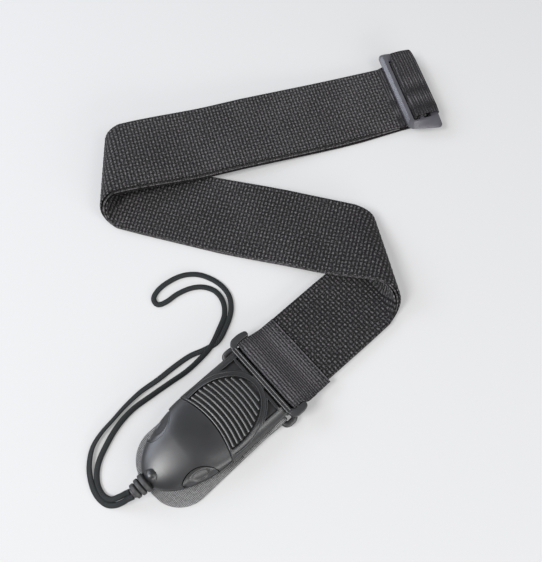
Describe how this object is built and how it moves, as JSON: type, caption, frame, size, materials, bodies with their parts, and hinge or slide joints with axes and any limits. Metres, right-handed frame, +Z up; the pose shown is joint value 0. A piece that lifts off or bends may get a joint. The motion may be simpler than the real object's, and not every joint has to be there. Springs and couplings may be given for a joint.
{
  "type": "guitar strap",
  "caption": "Woven guitar strap folded in three, with an adjusting slider, a quick-release buckle, a leather button tab on an end ring and a hand-cord loop.",
  "frame": {"origin": "middle of the strap's footprint as it lies folded, on the table", "axes": "+Z up from the table, +Y towards the slider end as the folded strap lies, +X towards the right-hand folds, seen from above"},
  "size_m": [0.2352, 0.3177, 0.0201],
  "materials": {
    "webbing": "black cotton-look webbing, plain weave, matte, with pale flecks",
    "thread": "black sewing thread, slight sheen",
    "moulded_plastic": "black moulded acetal, satin gloss",
    "grip_rubber": "black ribbed grip, satin",
    "coated_wire": "black coated steel wire, semi-gloss",
    "leather": "dark grey split leather, fine woven-looking grain",
    "boot_rubber": "black moulded rubber",
    "cord": "black flat braided lace, slight sheen"
  },
  "bodies": {
    "strap": {"buckle_span_run_1": "webbing", "return_span_run_1": "webbing", "ring_span_run_1": "webbing", "buckle_span_fold_left": "webbing", "return_span_fold_left": "webbing", "ring_span_fold_left": "webbing", "buckle_span_run_2": "webbing", "return_span_run_2": "webbing", "ring_span_run_2": "webbing", "buckle_span_fold_right": "webbing", "return_span_fold_right": "webbing", "ring_span_fold_right": "webbing", "buckle_span_run_3": "webbing", "return_span_run_3": "webbing", "ring_span_run_3": "webbing", "slider_weave": "webbing", "slider_sewn_loop": "webbing", "slider_stitching": "thread", "ring_webbing_loop": "webbing", "buckle_sewn_loop": "webbing", "buckle_stitching": "thread", "end_ring": "coated_wire", "end_tab": "leather", "tab_stitching": "thread"},
    "slider": {"slider_frame": "moulded_plastic"},
    "plug": {"plug_frame": "moulded_plastic", "grip_insert": "grip_rubber", "guide_tongue": "moulded_plastic"},
    "release_left": {"prong_left": "moulded_plastic"},
    "release_right": {"prong_right": "moulded_plastic"},
    "socket": {"socket_upper": "moulded_plastic", "socket_lower": "moulded_plastic", "cord_boot": "boot_rubber", "cord_anchor": "coated_wire", "hand_cord": "cord"}
  },
  "joints": [
    {"name": "slider_tilt", "type": "hinge", "parent": "strap", "child": "slider", "pos_m": [0.0974, 0.1258, 0.0088], "axis": [-0.289, 0.9573, 0], "range_deg": [0, 12]},
    {"name": "buckle_swing", "type": "hinge", "parent": "strap", "child": "plug", "pos_m": [-0.0032, -0.0813, 0.0104], "axis": [-0.6652, 0.7466, 0], "range_deg": [0, 95]},
    {"name": "release_left_press", "type": "hinge", "parent": "plug", "child": "release_left", "pos_m": [-0.05226, -0.1005, 0.0097], "axis": [0, 0, 1], "range_deg": [0, 6], "stiffness_Nm_per_rad": 2},
    {"name": "release_right_press", "type": "hinge", "parent": "plug", "child": "release_right", "pos_m": [-0.02791, -0.12783, 0.0097], "axis": [0, 0, -1], "range_deg": [0, 6], "stiffness_Nm_per_rad": 2},
    {"name": "socket_release", "type": "slide", "parent": "plug", "child": "socket", "axis": [-0.7466, -0.6652, 0], "range_m": [0, 0.04], "deforming": ["prong_left", "prong_right"]}
  ]
}
